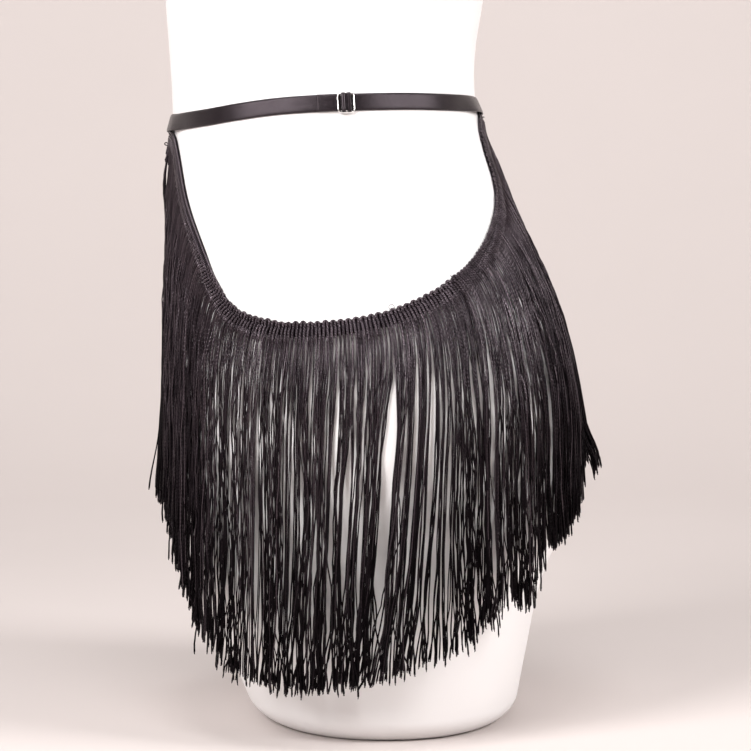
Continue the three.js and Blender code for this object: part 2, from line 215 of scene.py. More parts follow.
# Where a strand's path has its points, down its length.
STRAND_STOPS = np.concatenate([[0, 3, 7, 12, 18], np.arange(24, 190, 5.8), [192, 197]])
# How far the strands lie on each other, in millimetres. The outer half of them is a mesh of its own.
LAYERS_AT_FRONT = 1.9
LAYERS_AT_HIP = 3.6
LAYERS_AT_BACK = 2.6
INNER_LAYER = -0.5
OVER_DEPTH = 0.5
# Locks: their breadth, how far they draw in, and their lean and sway.
LOCK_BREADTH = (2.0, 7.5)
LOCK_DRAW = (0.06, 0.5)
LOCK_LEAN = 1.8
LOCK_SWAY = 0.9
SWAY_LENGTH = (90, 200)
# The length and reach of each strand's own waves, sideways and outward.
SIDE_WAVES = ((21, 0.2), (38, 0.42), (75, 0.8), (160, 1.3))
OUTWARD_WAVES = ((24, 0.22), (55, 0.45))
WAVE_SPREAD = (0.75, 1.25)
# One strand in ten is loose: it strays further and hangs longer.
LOOSE_CHANCE = 0.1
LOOSE_STRAY = 2.2
LOOSE_LONGER = 3
END_STRAY = 2.8
TIP_STRAY = 2.5
TIP_LENGTH = 45
TIP_CURVE = 1.5
LENGTH_SPREAD = 2.2
# The strands nearest to the centre front stand off, the front's hem flares, and so does one lock behind.
END_LOCK = 4.5
END_STAND_OFF = 3.4
END_FLARE = 2.2
BACK_LOCK = (60, 69)
BACK_FLARE = 9
# The outer strands' roots gather by this share to the nearest rib.
ROOT_GATHER = 0.75
ROOT_SPREAD = 0.22
# At the join, over this length, the front's strands lie deep and the back's lie over them.
LAP_GROOVE = 4.2
# A parting opens over this length, and pushes, leans and holds the strands this near to it.
PARTING_OPENING = 50
PARTING_PUSH_REACH = 7
PARTING_LEAN_REACH = 11
PARTING_HOLD_REACH = 5
# Loose fibres at a strand's end, and the way a tuft's cords taper.
TIP_FIBRES = 2
TIP_RADII = (0.36, 0.32, 0.16)
TUFT_TAPER = np.array([1, 1.1, 1.1, 1, 0.9, 0.8, 0.55])
# Partings in the curtain over each hip: where they root, where they open, how wide, how far they lean.
PARTING_COLUMNS = ("angle", "opens", "width", "lean")
PARTINGS = [
    (66.7, 30, 3.0, -1),
    (75, 34, 1.2, -3),
    (84.8, 14, 2.2, -3),
    (87.6, 44, 3.6, -4),
    (90.5, 60, 2.2, -4),
    (95.2, 16, 6.8, -12),
    (100.4, 4, 1.8, -5),
    (104, 4, 2.4, -7),
    (107, 40, 1.8, 0),
    (117.6, 30, 2.0, -1),
    (124, 70, 1.2, -1),
    (131, 60, 2.4, -2),
    (137.5, 45, 4.6, 0),
    (142, 80, 2.0, 0),
    (146.2, 70, 3.8, 0),
    (152, 60, 2.4, 0),
    (157.5, 150, 2.0, 6),
]
# How much longer the strands hang at places round the hips, as the hem dips and rises.
HEM_COLUMNS = ("angle", "longer")
HEM = [
    (0, 10),
    (12, 14),
    (20, 14),
    (26, 3),
    (31, -14),
    (36, -17),
    (42, -14),
    (48, -11),
    (55, -8),
    (62, -2),
    (67, -2),
    (76, 1),
    (90, 0),
    (100, 2),
    (110, -3),
    (119, -10),
    (124, -9),
    (129, 5),
    (134, -19),
    (140, -11),
    (146, -11),
    (155, -3),
    (180, 0),
]

# Sizes of the studio, in metres
FLOOR_REACH = 1.6
WALL_BEND = 2.0
WALL_HEIGHT = 3.2
FLOOR_SIDES = 96
LOW_MIDDLE = (0, 0, 0.25)
# Each light's name, place, size, power and the place it points to.
LIGHTS = [
    ("front_softbox", (1.22, -0.99, 1.06), (0.7, 0.9), 38, LOW_MIDDLE),
    ("rear_softbox", (0.72, 1.38, 1.06), (0.7, 0.9), 29, LOW_MIDDLE),
    ("overhead", (0.3, 0, 2.2), (1.6, 1.6), 10, LOW_MIDDLE),
    ("high_front", (1.0, 0, 2.4), (0.8, 0.8), 17, LOW_MIDDLE),
    ("wall_wash", (-1.3, 0, 2.6), (3.0, 1.0), 67, (-3.6, 0, 1.1)),
]
WORLD_COLOUR = (1, 0.99, 0.985, 1)
WORLD_STRENGTH = 0.1

# The photograph's camera
CAMERA_DISTANCE = 1500
CAMERA_SIDEWAYS = -7.75
CAMERA_HEIGHT = 258.5
CAMERA_PITCH = math.radians(2.02)
CAMERA_LENS = 116


def table(columns, rows):
    return {name: np.array([row[i] for row in rows], float) for i, name in enumerate(columns)}


sections = table(SECTION_COLUMNS, FORM_SECTIONS)
strap_line = table(LINE_COLUMNS, STRAP_LINE)
edge = table(LINE_COLUMNS, TRIM_EDGE)
partings = table(PARTING_COLUMNS, PARTINGS)
hem = table(HEM_COLUMNS, HEM)


def smooth(x, start, end):
    t = np.clip((np.asarray(x, float) - start) / (end - start), 0, 1)
    return t * t * (3 - 2 * t)


def unit(v):
    return v / np.maximum(np.linalg.norm(v, axis=-1, keepdims=True), 1e-9)


def table_value(keys, values, at):
    """A smooth value between the rows of a table."""
    x = np.clip(at, keys[0], keys[-1])
    slopes = np.empty_like(values)
    slopes[1:-1] = (values[2:] - values[:-2]) / (keys[2:] - keys[:-2])
    slopes[0] = (values[1] - values[0]) / (keys[1] - keys[0])
    slopes[-1] = (values[-1] - values[-2]) / (keys[-1] - keys[-2])
    i = np.clip(np.searchsorted(keys, x, side="left") - 1, 0, len(keys) - 2)
    span = keys[i + 1] - keys[i]
    t = (x - keys[i]) / span
    rise = values[i + 1] - values[i]
    s0 = slopes[i] * span
    s1 = slopes[i + 1] * span
    return values[i] + t * s0 + t**2 * (3 * rise - 2 * s0 - s1) + t**3 * (s0 + s1 - 2 * rise)


def section(z):
    """The form's level section at a height: its middle on the Y axis, half depth and half breadth."""
    front, back, half = (table_value(sections["z"], sections[k], z) for k in ("front", "back", "half"))
    return (front + back) / 2, (back - front) / 2, half


def signed_power(x, power):
    return np.sign(x) * np.abs(x) ** power


def form_point(angle, z, inset=0.0):
    """A point on the form: the angle, in degrees, runs from the front over the left hip to the back."""
    middle, depth, half = section(z)
    a = np.radians(angle)
    x = (half - inset) * signed_power(np.sin(a), 2 / SECTION_POWER)
    y = middle - (depth - inset) * signed_power(np.cos(a), 2 / SECTION_POWER)
    return np.stack(np.broadcast_arrays(x, y, z), -1).astype(float)


def outside(points):
    """Above 0 outside the form, and below 0 inside it."""
    middle, depth, half = section(points[..., 2])
    across = np.abs(points[..., 0] / half) ** SECTION_POWER
    return across + np.abs((points[..., 1] - middle) / depth) ** SECTION_POWER - 1


def field(points):
    """About how far outside the form each point is, and the form's outward normal there."""
    h = 0.05
    slope = np.stack([(outside(points + h * e) - outside(points - h * e)) / (2 * h) for e in np.eye(3)], -1)
    size = np.linalg.norm(slope, axis=-1)
    return outside(points) / size, slope / size[..., None]


def level(v):
    return unit(v * (1, 1, 0))


def clear_of_form(points, least):
    """Points moved out where they are nearer to the form than least."""
    for _ in range(2):
        away, normal = field(points)
        points = points + normal * np.maximum(least - away, 0)[..., None]
    return points


def measured(point_at, last_angle):
    """A line on the form at even angles, and the distance along it."""
    angles = np.linspace(0, last_angle, last_angle * 8 + 1)
    points = point_at(angles)
    steps = np.linalg.norm(np.diff(points, axis=0), axis=1)
    return angles, np.concatenate([[0], np.cumsum(steps)])


class Batch:
    """Collects solids for one mesh, each with a map of places around and along it, and a tone."""

    def __init__(self, mirrored=False):
        self.mirrored = mirrored
        self.points, self.faces, self.places, self.tones = [], [], [], []
        self.count = 0

    def add(self, points, faces, places, tone):
        """Each array of faces has a row of corners for each face, and its places a pair for each corner."""
        for corners, place in zip(faces, places):
            corners = corners + self.count
            if self.mirrored:
                corners = corners[:, ::-1]
                place = place[:, ::-1]
            self.faces.extend(corners.tolist())
            self.places.append(place.reshape(-1, 2))
        if self.mirrored:
            points = points * (-1, 1, 1)
        self.points.append(points)
        self.tones.append(np.broadcast_to(tone, len(points)))
        self.count += len(points)

    def loft(self, rings, along, around, tone=0.5, closed=False):
        """A solid through rings of points, which turn about the way they run by the right-hand rule."""
        n, sides = rings.shape[:2]
        spans = n if closed else n - 1
        i = np.arange(spans)[:, None]
        k = np.arange(sides)[None, :]
        near, far = i * sides, (i + 1) % n * sides
        corners = np.stack([near + k, near + (k + 1) % sides, far + (k + 1) % sides, far + k], -1)
        u0, u1 = around[:-1], around[1:]
        v0 = np.broadcast_to(along[:spans, None], (spans, sides))
        v1 = np.broadcast_to(along[1 : spans + 1, None], (spans, sides))
        u0, u1 = (np.broadcast_to(u, (spans, sides)) for u in (u0, u1))
        pairs = ((u0, v0), (u1, v0), (u1, v1), (u0, v1))
        place = np.stack([np.stack(pair, -1) for pair in pairs], 2)
        faces, places = [corners.reshape(-1, 4)], [place.reshape(-1, 4, 2)]
        if not closed:
            start = np.arange(sides)[None, ::-1]
            faces += [start, np.arange(sides)[None] + (n - 1) * sides]
            places += [np.full((1, sides, 2), along[0]), np.full((1, sides, 2), along[-1])]
        self.add(rings.reshape(-1, 3), faces, places, tone)

    def tube(self, path, out, radius, flat=1.0, sides=STRAND_SIDES, tone=0.5, closed=False):
        """A tube along a path. Its reach the way that out points is flat times its radius sideways."""
        if closed:
            ahead = np.roll(path, -1, 0) - np.roll(path, 1, 0)
        else:
            ahead = np.gradient(path, axis=0)
        tangent = unit(ahead)
        side = unit(np.cross(out, tangent))
        out = np.cross(tangent, side)
        turn = np.linspace(0, 2 * np.pi, sides + 1)[:-1]
        radius = np.broadcast_to(radius, len(path))[:, None, None]
        ring = side[:, None] * np.cos(turn)[None, :, None]
        ring = ring + out[:, None] * flat * np.sin(turn)[None, :, None]
        steps = np.linalg.norm(np.diff(path, axis=0), axis=1)
        along = np.concatenate([[0], np.cumsum(steps)])
        if closed:
            along = np.append(along, along[-1] + np.linalg.norm(path[0] - path[-1]))
        self.loft(path[:, None] + ring * radius, along, np.linspace(0, 1, sides + 1), tone, closed)

    def build(self, name, material):
        mesh = bpy.data.meshes.new(name)
        mesh.from_pydata((np.concatenate(self.points) * MM).tolist(), [], self.faces)
        layer = mesh.uv_layers.new(name="Pattern")
        layer.uv.foreach_set("vector", np.concatenate(self.places).astype(np.float32).ravel())
        tone = mesh.attributes.new("tone", "FLOAT", "POINT")
        tone.data.foreach_set("value", np.concatenate(self.tones).astype(np.float32))
        mesh.polygons.foreach_set("use_smooth", np.full(len(mesh.polygons), True))
        mesh.materials.append(material)
        mesh.update()
        piece = bpy.data.objects.new(name, mesh)
        bpy.context.scene.collection.objects.link(piece)
        return piece


def settle(piece, slot, *nodes):
    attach(piece, "root")
    if nodes:
        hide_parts(*nodes)
    return piece


# Materials
CORD_GLEAM = (1.0, 0.82, 0.91, 1.0)
CORD_ROUGHNESS = 0.22
PLIES = 2.0
TURNS_BY_TONE = 9.0
# Painted light on a long cord gives way to painted shade this many millimetres down it.
LIGHT_TO_SHADE_AT = 75.0
DULLS_FROM = 55.0
LEAST_GLEAM = 0.05
ELASTIC_RIB = 0.55
ELASTIC_WARP = 0.42


class Shader:
    """A Principled material with short ways to add and join nodes."""

    def __init__(self, name, roughness, **settings):
        self.material = bpy.data.materials.new(name)
        self.material.use_nodes = True
        self.nodes = self.material.node_tree.nodes
        self.links = self.material.node_tree.links
        self.bsdf = self.nodes["Principled BSDF"]
        self.bsdf.inputs["Roughness"].default_value = roughness
        for key, value in settings.items():
            self.bsdf.inputs[key.replace("_", " ")].default_value = value

    def node(self, kind, **settings):
        made = self.nodes.new(kind)
        for key, value in settings.items():
            setattr(made, key, value)
        return made

    def feed(self, target, source):
        if isinstance(source, bpy.types.NodeSocket):
            self.links.new(source, target)
        else:
            target.default_value = source

    def math(self, operation, *values):
        made = self.node("ShaderNodeMath", operation=operation)
        for socket, value in zip(made.inputs, values):
            self.feed(socket, value)
        return made.outputs[0]

    def plus(self, first, second):
        return self.math("ADD", first, second)

    def less(self, first, second):
        return self.math("SUBTRACT", first, second)

    def times(self, first, second):
        return self.math("MULTIPLY", first, second)

    def wave(self, value, length=1.0):
        return self.math("SINE", self.times(value, 2 * math.pi / length))

    def places(self):
        """Places around and along a piece, from its own map."""
        split = self.node("ShaderNodeSeparateXYZ")
        self.feed(split.inputs[0], self.node("ShaderNodeUVMap", uv_map="Pattern").outputs[0])
        return split.outputs[0], split.outputs[1]

    def noise(self, scale, detail=2.0, stretch=(1, 1, 1)):
        """Noise over the piece's own place, in features per metre."""
        spread = self.node("ShaderNodeVectorMath", operation="MULTIPLY")
        self.feed(spread.inputs[0], self.node("ShaderNodeTexCoord").outputs["Object"])
        spread.inputs[1].default_value = stretch
        made = self.node("ShaderNodeTexNoise")
        made.inputs["Scale"].default_value = scale
        made.inputs["Detail"].default_value = detail
        self.feed(made.inputs["Vector"], spread.outputs[0])
        return made.outputs[0]

    def blend(self, share, low, high):
        made = self.node("ShaderNodeMix", data_type="RGBA")
        self.feed(made.inputs["Factor"], share)
        made.inputs["A"].default_value = (*low, 1)
        made.inputs["B"].default_value = (*high, 1)
        self.feed(self.bsdf.inputs["Base Color"], made.outputs["Result"])

    def bump(self, height, distance, strength=1.0):
        made = self.node("ShaderNodeBump")
        made.inputs["Distance"].default_value = distance
        made.inputs["Strength"].default_value = strength
        self.feed(made.inputs["Height"], height)
        self.feed(self.bsdf.inputs["Normal"], made.outputs[0])

    def tone(self):
        return self.node("ShaderNodeAttribute", attribute_name="tone").outputs["Fac"]


def cord_material(name, dark, light, twist, relief, shading_and_dulling=0.0):
    """Twisted rayon cord: plies that wind round it, a gleam on its outer side, and each cord lighter or
    darker. A long cord is painted lighter near its root and darker towards its loose end, as painted light
    and painted shade, by the given amount for each millimetre; by the same amount its gleam dulls towards
    its loose end."""
    shader = Shader(name, CORD_ROUGHNESS, Specular_Tint=CORD_GLEAM)
    around, along = shader.places()
    tone = shader.tone()
    turns = shader.plus(shader.times(around, PLIES), shader.times(tone, TURNS_BY_TONE))
    plies = shader.wave(shader.plus(turns, shader.math("DIVIDE", along, twist)))
    tone_and_shading = shader.plus(shader.times(shader.noise(260, 2, (1, 1, 0.2)), 0.55), shader.times(tone, 0.6))
    # Painted light near the cord's root and painted shade towards its loose end, by the given amount for
    # each millimetre from the turn.
    tone_and_shading = shader.less(tone_and_shading, shader.times(shader.less(along, LIGHT_TO_SHADE_AT), shading_and_dulling))
    shader.blend(shader.plus(tone_and_shading, shader.times(plies, relief * 1000)), dark, light)
    gleam = shader.plus(shader.times(tone, 0.9), shader.times(shader.wave(around), 0.15))
    dulled = shader.times(shader.less(along, DULLS_FROM), 0.85 * shading_and_dulling)
    gleam = shader.less(shader.plus(gleam, 0.06), shader.math("MAXIMUM", dulled, 0.0))
    shader.feed(shader.bsdf.inputs["Specular IOR Level"], shader.math("MAXIMUM", gleam, LEAST_GLEAM))
    shader.bump(plies, relief, 0.8)
    return shader.material


def elastic_material():
    """Satin-faced elastic: fine ribs across it, a closer weave along it, and a worn, uneven tone."""
    shader = Shader("elastic", 0.24, Specular_IOR_Level=0.33, Specular_Tint=CORD_GLEAM)
    across, along = shader.places()
    ribs, warps = shader.wave(along, ELASTIC_RIB), shader.wave(across, ELASTIC_WARP)
    weave = shader.plus(shader.times(ribs, 0.6), shader.times(warps, 0.4))
    share = shader.plus(shader.times(shader.noise(60, 3), 0.55), shader.times(weave, 0.18))
    shader.blend(share, (0.005, 0.0038, 0.0045), (0.026, 0.021, 0.024))
    shader.bump(weave, 0.00005, 0.6)
    return shader.material


def metal_material():
    shader = Shader("metal", 0.2, Metallic=1.0)
    shader.blend(shader.noise(900, 3), (0.7, 0.69, 0.68), (0.86, 0.85, 0.84))
    shader.bump(shader.noise(2500, 2), 0.00002, 0.4)
    return shader.material


def form_material():
    """Sprayed and polished plastic: a faint unevenness, and a coat."""
    shader = Shader("form", 0.5, Specular_IOR_Level=0.25, Coat_Weight=0.05, Coat_Roughness=0.3)
    shader.blend(shader.noise(9, 4), (0.77, 0.75, 0.745), (0.81, 0.79, 0.785))
    shader.bump(shader.noise(55, 4), 0.0002, 0.12)
    return shader.material


def plain_material(name, colour, roughness):
    shader = Shader(name, roughness, Specular_IOR_Level=0.1)
    low = tuple(0.97 * c for c in colour)
    shader.blend(shader.noise(3, 2), low, colour)
    return shader.material


# Dress form
def rounded_edge(size):
    """Heights and insets round a quarter circle, from its flat end to its upright one."""
    turns = np.linspace(0, np.pi / 2, ROUNDING_STEPS + 1)
    return [(size * (1 - math.cos(t)), size * (1 - math.sin(t))) for t in turns]


def form_piece():
    foot = rounded_edge(FOOT_ROUNDING)
    first, last = FOOT_ROUNDING + FORM_RING_STEP, FORM_TOP - TOP_ROUNDING
    body = [(z, 0) for z in np.arange(first, last, FORM_RING_STEP)]
    top = [(FORM_TOP - drop, inset) for drop, inset in rounded_edge(TOP_ROUNDING)[::-1]]
    angles = np.linspace(0, 360, FORM_SIDES + 1)[:-1]
    rings = np.stack([form_point(angles, z, inset) for z, inset in foot + body + top])
    along = np.array([z for z, _ in foot + body + top], float)
    shell = Batch()
    shell.loft(rings, along, np.linspace(0, 1, FORM_SIDES + 1))
    return settle(shell.build("dress_form", form_material()), "form", "form")


# Strap
def strap_point(angle):
    """The strap's middle line on the form, alike on both halves."""
    from_front = np.minimum(angle, 360 - np.asarray(angle))
    return form_point(angle, table_value(strap_line["angle"], strap_line["z"], from_front))


strap_angles, strap_lengths = measured(strap_point, 360)
strap_girth = strap_lengths[-1]
slider_angle = next(a for a in strap_angles if strap_point(a)[1] > SLIDER_Y)
slider_along = float(np.interp(slider_angle, strap_angles, strap_lengths))


def strap_frame(along):
    """The strap's middle on the form, and its directions up and out, at distances along it."""
    middle = strap_point(np.interp(along % strap_girth, strap_lengths, strap_angles))
    ahead = strap_point(np.interp((along + 1) % strap_girth, strap_lengths, strap_angles)) - middle
    out = field(middle)[1]
    return middle, unit(np.cross(out, ahead)), out


def on_strap(along, rise, lift):
    middle, up, out = strap_frame(np.asarray(along, float))
    return middle + up * np.asarray(rise)[..., None] + out * np.asarray(lift)[..., None]


def strap_lift(along):
    """How far the strap's lower and upper edges stand off the form. It passes under the slider's ends
    and over its middle bar, in two soft folds, and the trim behind it pushes its lower edge out."""
    x = np.abs(strap_point(np.interp(along, strap_lengths, strap_angles))[..., 0])
    near_slider = np.abs(along - slider_along)
    tucked = (1 - smooth(x, TRIM_TUCK_REACH, TRIM_TUCK_END)) * (near_slider > SLIDER_LENGTH)
    crest = 1 - smooth(near_slider, CREST_END, SLIDER_LENGTH / 2 - 2 * WIRE_RADIUS - 0.1)
    crease = 1 - smooth(near_slider, 0.0, CREASE_WIDTH)
    over = STRAP_CLEARANCE + (CREST_LIFT - STRAP_CLEARANCE) * crest - (CREST_LIFT - CREASE_LIFT) * crease
    return over + (STRAP_OVER_TRIM - STRAP_CLEARANCE) * tucked, over


def band_section(width, thickness, points_across=9):
    """A tape's cross-section: places across it and through it, with a slightly beaded edge."""
    across = np.linspace(-width / 2, width / 2, points_across)
    bead = 1 + BEAD_SWELL * smooth(np.abs(across), width * BEAD_START, width * BEAD_END)
    ends = np.where(np.abs(across) > width * 0.49, EDGE_THINNING, 1.0)
    half = thickness / 2 * bead * ends
    through = np.concatenate([-half, half[::-1]])
    return np.concatenate([across, across[::-1]]), through + thickness / 2


def band_rings(along, low, high, width, thickness):
    """A tape laid along the strap's line, a little wider where it folds over the slider's bar."""
    across, through = band_section(width, thickness)
    share = across / width + 0.5
    lift = np.outer(low, 1 - share) + np.outer(high, share) + through
    folded = smooth(high, WIRE_LIFT + WIRE_RADIUS, CREST_LIFT)
    rise = np.outer(1 + CREST_WIDENING * folded, across) - CREST_DROP * folded[:, None]
    along = np.broadcast_to(np.asarray(along)[:, None], lift.shape)
    rings = on_strap(along, rise, lift)
    return rings, np.append(across, across[0])


def strap_piece(material):
    far = np.arange(0, strap_girth - STRAP_STEP / 2, STRAP_STEP)
    far = far[np.abs(far - slider_along) > SLIDER_LENGTH / 2 + STRAP_STEP / 2]
    near = slider_along + np.arange(-SLIDER_LENGTH / 2, SLIDER_LENGTH / 2 + 0.01, STRAP_FINE_STEP)
    along = np.sort(np.concatenate([far, near]))
    low, high = strap_lift(along)
    rings, around = band_rings(along, low, high, STRAP_WIDTH, STRAP_THICKNESS)
    band = Batch()
    band.loft(rings, np.append(along, strap_girth), around, closed=True)
    piece = settle(band.build("waist_strap", material), "elastic", "strap")
    return piece


def tail_piece(material):
    """The strap's sewn-back end, with two rows of stitches across it."""
    end = slider_along - SLIDER_LENGTH / 2 - 0.1
    along = np.linspace(end - TAIL_LENGTH, end, 12)
    lift = np.full(len(along), STRAP_CLEARANCE + STRAP_THICKNESS + TAIL_GAP)
    rings, around = band_rings(along, lift, lift, TAIL_WIDTH, TAIL_THICKNESS)
    tail = Batch()
    tail.loft(rings, along, around)
    for row in STITCH_ROWS:
        for rise in np.arange(-4.0, 4.1, STITCH_PITCH):
            ends = np.array([rise - STITCH_REACH, rise, rise + STITCH_REACH])
            lifts = lift[0] + TAIL_THICKNESS + np.array(STITCH_LIFTS)
            path = on_strap(np.full(3, along[0] + row), ends, lifts)
            tail.tube(path, strap_frame(np.full(3, along[0]))[2], STITCH_RADIUS, tone=0.9)
    return settle(tail.build("strap_end", material), "elastic", "strap_tail")


def slider_piece():
    """A wire frame with round corners and a middle bar."""
    x, y = SLIDER_LENGTH / 2 - WIRE_RADIUS, SLIDER_HEIGHT / 2 - WIRE_RADIUS
    r = SLIDER_CORNER - WIRE_RADIUS
    corners = [(x - r, y - r, 0), (r - x, y - r, 90), (r - x, r - y, 180), (x - r, r - y, 270)]
    outline = []
    for cx, cy, start in corners:
        for turn in np.radians(np.linspace(start, start + 90, 7)):
            outline.append((cx + r * math.cos(turn), cy + r * math.sin(turn)))
    places = np.array(outline)
    middle, up, out = (v[0] for v in strap_frame(np.array([slider_along])))
    middle = middle - CREST_DROP * up
    ahead = np.cross(up, out)
    wire = Batch()
    ring = middle + places[:, :1] * ahead + places[:, 1:] * up + out * WIRE_LIFT
    wire.tube(ring, np.tile(out, (len(ring), 1)), WIRE_RADIUS, sides=12, closed=True)
    bar = np.linspace(-y, y, 5)
    path = middle + bar[:, None] * up + out * WIRE_LIFT
    joined = Batch()
    joined.tube(path, np.tile(out, (5, 1)), WIRE_RADIUS * 0.9, sides=12)
    material = metal_material()
    settle(joined.build("slider_bar", material), "metal")
    return settle(wire.build("slider_frame", material), "metal", "slider")


# Trim
def trim_edge(angle):
    return form_point(angle, table_value(edge["angle"], edge["z"], angle))


trim_angles, trim_lengths = measured(trim_edge, 180)
trim_length = trim_lengths[-1]
join_along = float(np.interp(JOIN_ANGLE, trim_angles, trim_lengths))
PIECES = {
    "front": (0.0, join_along),
    "back": (join_along - LAP_LENGTH, trim_length),
}


def trim_frame(along):
    """The trim's top edge on the form, and the way across the trim, at distances along it."""
    angle = np.interp(along, trim_lengths, trim_angles)
    step = 0.4
    ahead = trim_edge(np.minimum(angle + step, 180)) - trim_edge(np.maximum(angle - step, 0))
    at_end = (angle < step) | (angle > 180 - step)
    ahead = np.where(at_end[..., None], ahead * (1, 0, 0), ahead)
    point = trim_edge(angle)
    across = unit(np.cross(ahead, field(point)[1]))
    return point, across * -np.sign(across[..., 2:])


def climbing(along):
    """1 where the trim climbs to the strap, and 0 across the hip."""
    front = 1 - smooth(along, FRONT_CLIMB - CLIMB_FADE, FRONT_CLIMB)
    back = smooth(along, trim_length - BACK_CLIMB, trim_length - BACK_CLIMB + CLIMB_FADE)
    return np.maximum(front, back)


def lap_lift(along, piece):
    """The back length rises over the front one where they lap."""
    if piece == "front":
        return np.zeros_like(along)
    return LAP_LIFT * (1 - smooth(along - join_along, 0, 2 * LAP_LENGTH))


def on_trim(along, across, lift, piece):
    along, across, lift = np.broadcast_arrays(np.asarray(along, float), across, lift)
    point, way = trim_frame(along)
    p = point + way * across[..., None]
    away, normal = field(p)
    return p + normal * (lift + lap_lift(along, piece) - away)[..., None]


def ribbon(batch, piece):
    """The woven strip that the ribs and loops are worked on."""
    start, end = PIECES[piece]
    along = np.linspace(start + END_MARGIN, end - END_MARGIN, int((end - start) / RIBBON_STEP))
    across = np.array(RIBBON_ACROSS + RIBBON_ACROSS[::-1])
    lift = np.repeat([0.0, RIBBON_THICKNESS], len(RIBBON_ACROSS)) + TRIM_CLEARANCE
    rings = on_trim(along[:, None], across[None, :], lift[None, :], piece)
    # Its low tone is painted shade: the ribbon shows darker than the ribs in the gaps between them.
    batch.loft(rings, along, np.linspace(0, 1, 7), tone=0.1)


def ribs(batch, piece):
    """Cords laid side by side across the trim, a little bowed and slanted."""
    start, end = PIECES[piece]
    pitch = RIB_PITCH[piece]
    across, lift = (np.array(v) for v in zip(*RIB_PROFILE))
    for along in np.arange(start + pitch / 2, end, pitch):
        upright = smooth(along, FRONT_CLIMB, FRONT_CLIMB + SLANT_FADE)
        slant = RIB_SLANT * (1 - upright) + rng.normal(0, 0.03)
        bow = rng.normal(0, 0.08) * np.sin((across - across[0]) * 0.9)
        places = along + slant * (across - across[0]) + bow
        places = np.clip(places, END_MARGIN, trim_length - END_MARGIN)
        path = on_trim(places, across, lift + rng.normal(0, 0.07), piece)
        radius = RIB_FILL[piece] * pitch * (1 - RIB_TAPER * smooth(across, TRIM_WIDTH, across[-1]))
        tone = rng.uniform(0.15, 0.65)
        batch.tube(path, field(path)[1], radius, flat=RIB_HEIGHT[piece], sides=8, tone=tone)


def loops(batch, piece):
    """The scalloped row of loops along the trim's top edge, one for each two ribs. It ends where the
    trim climbs to the strap."""
    start, end = PIECES[piece]
    pitch = 2 * RIB_PITCH[piece]
    size = pitch / LOOP_CORD_PITCH
    across, lift = (np.array(v) for v in zip(*LOOP_LEG))
    spread = np.array(LOOP_SPREAD) * pitch / 2
    across = np.concatenate([across, across[-2::-1]])
    lift = np.concatenate([lift, lift[-2::-1]])
    spread = np.concatenate([-spread, spread[-2::-1]])
    for along in np.arange(start + pitch / 2, end - pitch / 4, pitch):
        if climbing(along) > 0.6:
            continue
        reach = 1 + rng.normal(0, 0.07)
        top = rng.normal(0, 0.22) * (1 - climbing(along))
        rise = across - (across < 1) * top + 0.9 * climbing(along)
        places = along + spread * reach + rng.normal(0, 0.08)
        places = np.clip(places, END_MARGIN, trim_length - END_MARGIN)
        path = on_trim(places, rise, lift + rng.normal(0, 0.06), piece)
        tone = rng.uniform(0.2, 0.55)
        batch.tube(path, field(path)[1], LOOP_CORD_RADIUS * size, flat=0.9, sides=8, tone=tone)


def edge_cords(batch, piece):
    """Cords laid along the trim's edge where it climbs to the strap. They sink in where the climb fades."""
    reach = (0.4, FRONT_CLIMB) if piece == "front" else (trim_length - BACK_CLIMB, trim_length - 0.4)
    along = np.arange(*reach, EDGE_CORD_STEP)
    for across, radius, tone in EDGE_CORDS:
        waver = EDGE_CORD_WAVER * np.sin(along / rng.uniform(7, 12) + rng.uniform(0, 6))
        lift = EDGE_CORD_LIFT + EDGE_CORD_RISE * climbing(along) + rng.normal(0, 0.08)
        path = on_trim(along, across + waver, lift, piece)
        batch.tube(path, field(path)[1], radius, sides=8, tone=tone)


def trim_piece(side, piece, material):
    batch = Batch(mirrored=side == "right")
    ribbon(batch, piece)
    ribs(batch, piece)
    loops(batch, piece)
    edge_cords(batch, piece)
    name = f"{side}_{piece}"
    return settle(batch.build(f"braid_{name}", material), "trim", f"trim_{name}")


# Fringe
def hang_curtain():
    """Where a cord from each place along the trim would hang: it leaves the trim square to its edge, bends
    down under its weight, lies on the form down to the fullest part of the hips, and falls free below."""
    along = np.arange(0.5, trim_length, CURTAIN_COLUMN)
    _, way_out = trim_frame(along)
    p = on_trim(along, TRIM_WIDTH - ROOT_DEPTH, CURTAIN_LIFT, "front")
    least_x = CENTRE_CLEARANCE + STRAND_PACKING * np.minimum(along, trim_length - along)
    rows = [p]
    for s in np.arange(0, STRAND_LENGTH + CURTAIN_SPARE, CURTAIN_STEP):
        stiff = math.exp(-s / STRAND_STIFF_LENGTH)
        way = unit(np.array([0, 0, -1.0]) * (1 - stiff) + way_out * stiff)
        q = clear_of_form(p + way * CURTAIN_STEP, CURTAIN_LIFT)
        q = p + unit(q - p) * CURTAIN_STEP
        q[:, 0] = np.maximum(q[:, 0], least_x)
        rows.append(q)
        p = q
    points = np.stack(rows, 1)
    return along, points, level(field(points)[1])


curtain_along, curtain_points, curtain_out = hang_curtain()
curtain_side = np.cross([0, 0, 1.0], curtain_out)
curtain_steps = np.arange(curtain_points.shape[1]) * CURTAIN_STEP


def column(along):
    """The curtain's points, way out and way sideways under one place along the trim."""
    at = np.clip((along - curtain_along[0]) / CURTAIN_COLUMN, 0, len(curtain_along) - 1.001)
    i = int(at)
    share = at - i
    parts = []
    for grid in (curtain_points, curtain_out, curtain_side):
        line = grid[i] * (1 - share) + grid[i + 1] * share
        parts.append(np.stack([np.interp(STRAND_STOPS, curtain_steps, line[:, j]) for j in range(3)], 1))
    return parts


